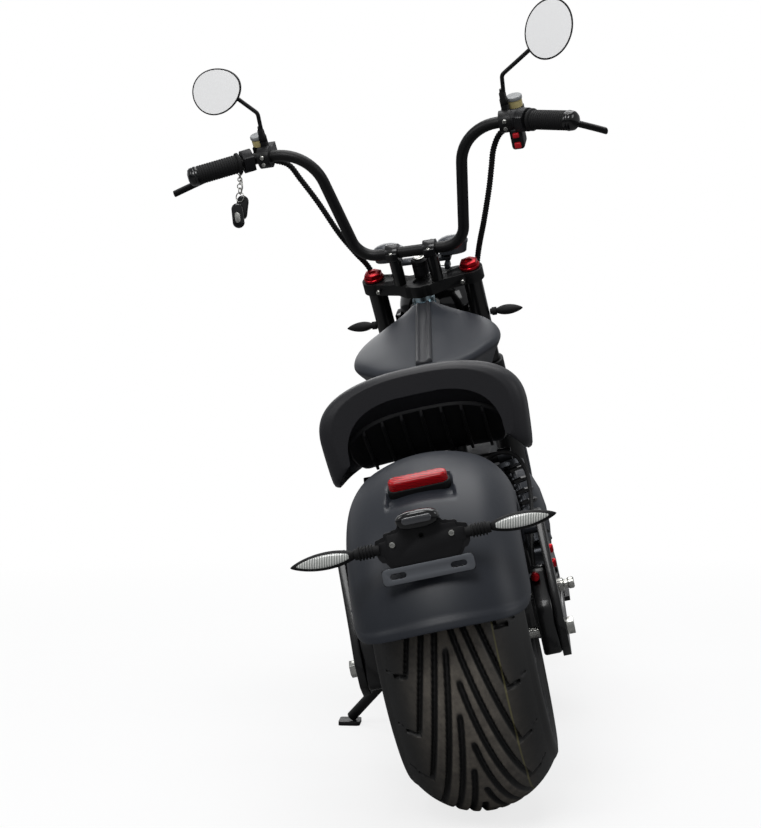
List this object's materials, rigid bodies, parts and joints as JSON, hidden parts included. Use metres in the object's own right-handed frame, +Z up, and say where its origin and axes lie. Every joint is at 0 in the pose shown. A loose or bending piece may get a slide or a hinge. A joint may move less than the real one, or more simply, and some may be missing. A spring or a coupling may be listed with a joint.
{
  "type": "electric chopper scooter",
  "caption": "Low electric chopper scooter with a wide rear tyre, high bars, raked fork, long tank and solo seat, parked leaning on its side stand.",
  "frame": {"origin": "point of the floor where the middle plane of the leaning scooter meets it, below and in line with the rear axle's Y", "axes": "+Y forward along the scooter, +Z up from the floor, +X to the rider's right; the scooter leans about the Y axis"},
  "size_m": [0.8357, 1.832, 1.3005],
  "materials": {
    "frame_black": "gloss black paint",
    "satin_grey": "satin charcoal paint",
    "strip_grey": "satin dark grey",
    "seat_cover": "satin black seat cover",
    "black_plastic": "matt black",
    "gloss_black": "gloss black",
    "battery_case": "matt dark case",
    "tyre_rubber": "worn black tread",
    "rubber_black": "matt black rubber",
    "rim_black": "satin black alloy",
    "disc_steel": "ground steel",
    "axle_steel": "bright plated steel",
    "nut_zinc": "plated steel",
    "shock_body": "silver grey",
    "anodised_red": "red anodised",
    "red_lens": "clear red",
    "white_lens": "clear white",
    "fluid_cup": "translucent with a dark lid",
    "mirror_face": "silvered glass",
    "gauge_grey": "dark grey housing"
  },
  "bodies": {
    "root": {"frame": "frame_black", "head_tube": "frame_black", "battery_box": "battery_case", "side_covers": "satin_grey", "foot_boards": "black_plastic", "tank": "satin_grey", "tank_strip": "strip_grey", "seat": "seat_cover", "seat_pan": "black_plastic", "swingarm": "frame_black", "shocks": "shock_body", "shock_springs": "frame_black", "rear_fender": "satin_grey", "tail_light": "red_lens", "plate_bracket": "black_plastic", "plate_lamp": "gloss_black", "rear_indicators": "rubber_black", "rear_indicator_lenses": "white_lens", "rear_axle": "axle_steel", "rear_caliper": "anodised_red", "stand_bracket": "frame_black", "rear_brake_hose": "rubber_black"},
    "side_stand": {"side_stand": "frame_black"},
    "steering": {"top_yoke": "frame_black", "bottom_yoke": "frame_black", "stem_nut": "nut_zinc", "fork_tubes": "frame_black", "fork_sliders": "rim_black", "fork_caps": "anodised_red", "bar_risers": "frame_black", "handlebar": "frame_black", "grips": "rubber_black", "switch_pods": "black_plastic", "brake_masters": "frame_black", "brake_levers": "frame_black", "reservoirs": "fluid_cup", "mirrors": "gloss_black", "mirror_glass": "mirror_face", "gauges": "gauge_grey", "headlight": "gloss_black", "front_fender": "satin_grey", "front_indicators": "rubber_black", "front_caliper": "rim_black", "front_axle": "axle_steel", "control_looms": "rubber_black", "key_fobs": "black_plastic"},
    "rear_wheel": {"rear_tyre": "tyre_rubber", "rear_rim": "rim_black", "rear_disc": "disc_steel"},
    "front_wheel": {"front_tyre": "tyre_rubber", "front_rim": "rim_black", "front_disc": "disc_steel"}
  },
  "joints": [
    {"name": "steering", "type": "hinge", "parent": "root", "child": "steering", "pos_m": [-0.1763, 0.928, 0.80185], "axis": [-0.1887, -0.4772, 0.8583], "range_deg": [-23.2, 46.8]},
    {"name": "rear_wheel_spin", "type": "hinge", "parent": "root", "child": "rear_wheel", "pos_m": [-0.05172, 0, 0.23522], "axis": [0.9767, 0, 0.2147], "continuous": true},
    {"name": "front_wheel_spin", "type": "hinge", "parent": "steering", "child": "front_wheel", "pos_m": [-0.05454, 1.25535, 0.27853], "axis": [0.977, -0.1797, 0.1149], "continuous": true},
    {"name": "stand_hinge", "type": "hinge", "parent": "root", "child": "side_stand", "pos_m": [-0.16728, 0.47, 0.13216], "axis": [-0.7194, 0.1209, 0.684], "range_deg": [0, 95]}
  ]
}
